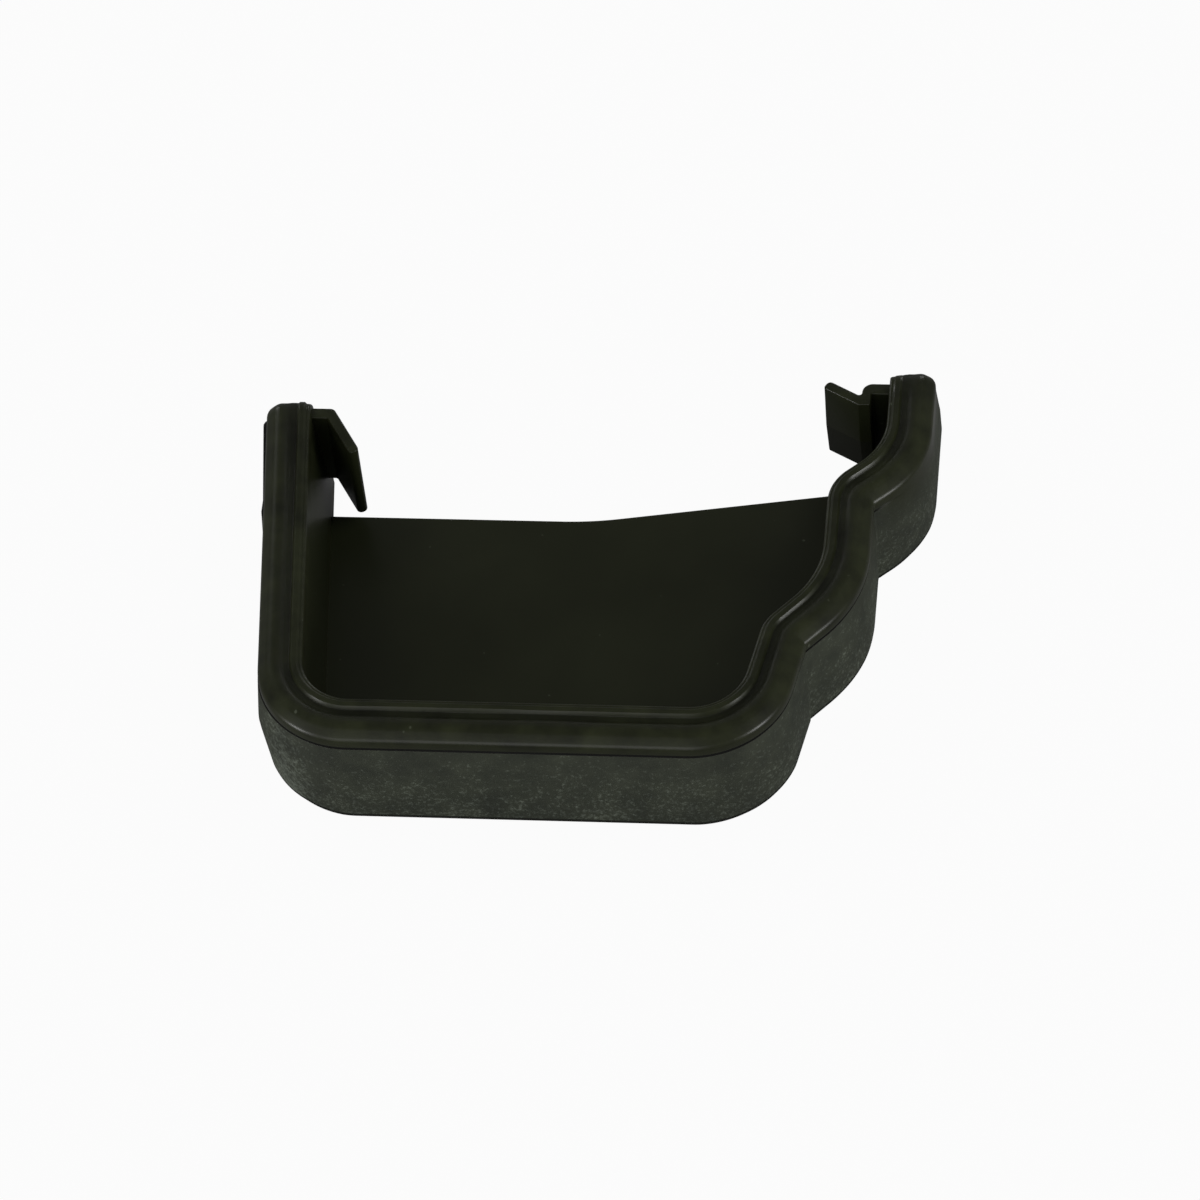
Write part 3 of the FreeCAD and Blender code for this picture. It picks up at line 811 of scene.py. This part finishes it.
def moulded_skin():
    """Colour, roughness and height that change over a moulded face with its finish, painted light and
    painted shade.
    """
    group = bpy.data.node_groups.new("moulded skin", "ShaderNodeTree")
    face = group.interface
    face.new_socket("Finish and light", in_out="INPUT", socket_type="NodeSocketFloat")
    for name, kind in (("Color", "NodeSocketColor"), ("Roughness", "NodeSocketFloat"),
                       ("Height", "NodeSocketFloat")):
        face.new_socket(name, in_out="OUTPUT", socket_type=kind)
    source, sink = group.nodes.new("NodeGroupInput"), group.nodes.new("NodeGroupOutput")
    finish_and_light = source.outputs["Finish and light"]
    grained = limited(group, finish_and_light)
    # Above 1 the value is painted light at the heel.
    painted_heel_light = math_node(group, "MAXIMUM", math_node(group, "SUBTRACT", finish_and_light, 1.0), 0.0)
    # Below 0 it is painted shade.
    painted_shade = math_node(group, "MAXIMUM", math_node(group, "MULTIPLY", finish_and_light, -1.0), 0.0)

    place = group.nodes.new("ShaderNodeTexCoord").outputs["Object"]
    parts = group.nodes.new("ShaderNodeSeparateXYZ")
    group.links.new(place, parts.inputs["Vector"])
    height = parts.outputs["Z"]
    cloud = noise(group, place, 32.0, 3.0, 0.55)
    grain = noise(group, place, 2400.0, 3.0, 0.75)
    blotch = noise(group, place, 150.0, 3.0, 0.6)
    satin = noise(group, place, 260.0, 2.0, 0.5)

    clean = mixed(group, grained, smooth_colour(group, place, cloud, blotch, height),
                  grained_colour(group, place, grain, blotch, height, painted_heel_light))
    # Painted shade darkens the colour.
    group.links.new(mixed(group, painted_shade, clean, PAINTED_SHADE), sink.inputs["Color"])
    satin_gloss = math_node(group, "ADD", 0.25, math_node(group, "MULTIPLY", cloud, 0.16))
    dull = math_node(group, "ADD", math_node(group, "MULTIPLY", grained, 0.3),
                     math_node(group, "MULTIPLY", painted_shade, 0.6))
    group.links.new(math_node(group, "ADD", satin_gloss, dull), sink.inputs["Roughness"])
    ripple = math_node(group, "MULTIPLY", satin, 0.06)
    pits = math_node(group, "MULTIPLY", math_node(group, "MULTIPLY", grain, grained), 0.5)
    group.links.new(math_node(group, "ADD", ripple, pits), sink.inputs["Height"])
    return group


# %% Material of the cap
def plastic_material():
    """Satin black plastic: the group's colour, roughness and relief into one Principled."""
    material = bpy.data.materials.new("olive-black plastic")
    material.use_nodes = True
    tree = material.node_tree
    shader = tree.nodes["Principled BSDF"]
    shader.inputs["IOR"].default_value = 1.5
    shader.inputs["Specular IOR Level"].default_value = 0.22
    finish_and_light = tree.nodes.new("ShaderNodeAttribute")
    finish_and_light.attribute_name = FINISH_AND_LIGHT
    skin = tree.nodes.new("ShaderNodeGroup")
    skin.node_tree = moulded_skin()
    relief = add_node(tree, "ShaderNodeBump", Strength=0.5, Distance=0.0002)
    tree.links.new(finish_and_light.outputs["Fac"], skin.inputs["Finish and light"])
    tree.links.new(skin.outputs["Color"], shader.inputs["Base Color"])
    tree.links.new(skin.outputs["Roughness"], shader.inputs["Roughness"])
    tree.links.new(skin.outputs["Height"], relief.inputs["Height"])
    tree.links.new(relief.outputs["Normal"], shader.inputs["Normal"])
    return material


plastic = plastic_material()
pieces = [collar, end_wall, hook, catch]
for piece in pieces:
    piece.data.materials.append(plastic)
    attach(piece, "root")
    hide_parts("end_cap")
print("finished pieces", [piece.name for piece in pieces])

# %% [markdown]
# ## The studio
#
# A pale floor and a pale surround. The camera sees both as plain white, while the floor
# keeps a little of the cap's shadow. Reflections see only a small share of that white,
# as in a dim room, because under a white sky the satin black would look grey.

# %% White for the camera, dim for reflections
IN_REFLECTIONS = 0.04


def background_share(tree, in_camera):
    """Share of plain white a ray sees: camera x in_camera + (glossy + transmission) x 0.04."""
    rays = tree.nodes.new("ShaderNodeLightPath")
    total = 0.0
    for name, share in (("Is Camera Ray", in_camera), ("Is Glossy Ray", IN_REFLECTIONS),
                        ("Is Transmission Ray", IN_REFLECTIONS)):
        part = math_node(tree, "MULTIPLY_ADD", rays.outputs[name], share)
        feed(tree, part.node.inputs[2], total)
        total = part
    return total


# %% Floor
WHITE = (1.0, 1.0, 1.0, 1.0)
FLOOR_HALF, FLOOR_Z = 3.0, -0.0002
floor_mesh = bpy.data.meshes.new("floor")
floor_mesh.from_pydata([(x * FLOOR_HALF, y * FLOOR_HALF, FLOOR_Z)
                        for x, y in ((-1, -1), (1, -1), (1, 1), (-1, 1))], [], [(0, 1, 2, 3)])
floor = bpy.data.objects.new("floor", floor_mesh)
bpy.context.scene.collection.objects.link(floor)
paper = bpy.data.materials.new("pale paper")
paper.use_nodes = True
tree = paper.node_tree
tree.nodes.remove(tree.nodes["Principled BSDF"])
matt = add_node(tree, "ShaderNodeBsdfDiffuse", Color=(0.22, 0.22, 0.22, 1.0))
white = add_node(tree, "ShaderNodeEmission", Color=WHITE, Strength=1.0)
mix = tree.nodes.new("ShaderNodeMixShader")
tree.links.new(background_share(tree, 0.96), mix.inputs[0])
tree.links.new(matt.outputs[0], mix.inputs[1])
tree.links.new(white.outputs[0], mix.inputs[2])
tree.links.new(mix.outputs[0], tree.nodes["Material Output"].inputs["Surface"])
floor_mesh.materials.append(paper)
print("floor", 2 * FLOOR_HALF, "m wide")

# %% Surround
world = bpy.data.worlds.new("surround")
bpy.context.scene.world = world
world.use_nodes = True
sky = world.node_tree
soft = sky.nodes["Background"]
soft.inputs["Color"].default_value = WHITE
soft.inputs["Strength"].default_value = 0.17
plain = add_node(sky, "ShaderNodeBackground", Color=WHITE, Strength=1.0)
choose = sky.nodes.new("ShaderNodeMixShader")
sky.links.new(background_share(sky, 1.0), choose.inputs[0])
sky.links.new(soft.outputs[0], choose.inputs[1])
sky.links.new(plain.outputs[0], choose.inputs[2])
sky.links.new(choose.outputs[0], sky.nodes["World Output"].inputs["Surface"])
print("surround at strength", round(soft.inputs["Strength"].default_value, 2))

# %% [markdown]
# ## The lamps
#
# Two broad lamps light the cap from both sides. They are left out of reflections, so that
# they don't veil the flat end wall. One low broad lamp and four small ones draw the
# glints along the rim, the bead and the lip.

# %% Lamps
def lamp(name, place, size, watts, glint=True):
    """Square area lamp at a place in metres, aimed at the cap, with or without a glint."""
    light = bpy.data.lights.new(name, "AREA")
    light.shape, light.size, light.energy = "SQUARE", size, watts
    holder = bpy.data.objects.new(name, light)
    aim = Vector((0.0, 0.0, 0.01)) - Vector(place)
    holder.matrix_world = Matrix.Translation(place) @ aim.to_track_quat("-Z", "Y").to_matrix().to_4x4()
    holder.visible_glossy = glint
    bpy.context.scene.collection.objects.link(holder)


lamp("side_left", (-0.85, 0.3, 0.95), 0.8, 5.8, glint=False)
lamp("side_right", (0.85, 0.1, 0.95), 0.8, 7.3, glint=False)
lamp("front", (-0.2, -1.25, 0.3), 0.9, 6.5)
lamp("left", (-1.0, -0.7, 0.15), 0.25, 7.5)
lamp("right", (1.05, -0.5, 0.15), 0.25, 7.0)
lamp("back_right", (0.3, 1.2, 0.4), 0.35, 1.8)
lamp("back_left", (-0.8, 1.0, 0.45), 0.35, 1.5)

# %% [markdown]
# ## The camera
#
# The viewpoint was worked out from the cap's own straight edges: 52 degrees above the
# floor, turned 10.5 degrees to the left of the bottom edge's normal, and rolled 7 degrees.
# A long lens keeps the mouth's edges nearly parallel.

# %% Camera
ELEVATION, AZIMUTH, TILT = (math.radians(v) for v in (52.0, -10.5, 7.0))
DISTANCE = 1.3592
AIM = Vector((np.array([55.9, 25.1, DEPTH]) + DRAWING_SHIFT) * MM)
forward = Vector((math.cos(ELEVATION) * math.sin(AZIMUTH),
                  math.cos(ELEVATION) * math.cos(AZIMUTH), -math.sin(ELEVATION)))
level_right = Vector((math.cos(AZIMUTH), -math.sin(AZIMUTH), 0.0))
level_up = level_right.cross(forward)
right_axis = level_right * math.cos(TILT) - level_up * math.sin(TILT)
up_axis = level_right * math.sin(TILT) + level_up * math.cos(TILT)
camera = bpy.data.objects.new("camera", bpy.data.cameras.new("camera"))
camera.data.lens = 210.0
camera.data.sensor_width = 36.0
camera.data.sensor_fit = "HORIZONTAL"
camera.data.clip_end = 20.0
spot = AIM - forward * DISTANCE
camera.matrix_world = Matrix((
    (right_axis.x, up_axis.x, -forward.x, spot.x), (right_axis.y, up_axis.y, -forward.y, spot.y),
    (right_axis.z, up_axis.z, -forward.z, spot.z), (0.0, 0.0, 0.0, 1.0)))
bpy.context.scene.collection.objects.link(camera)
bpy.context.scene.camera = camera
bpy.context.scene.view_settings.view_transform = "Standard"
print("camera at", [round(v, 3) for v in spot])
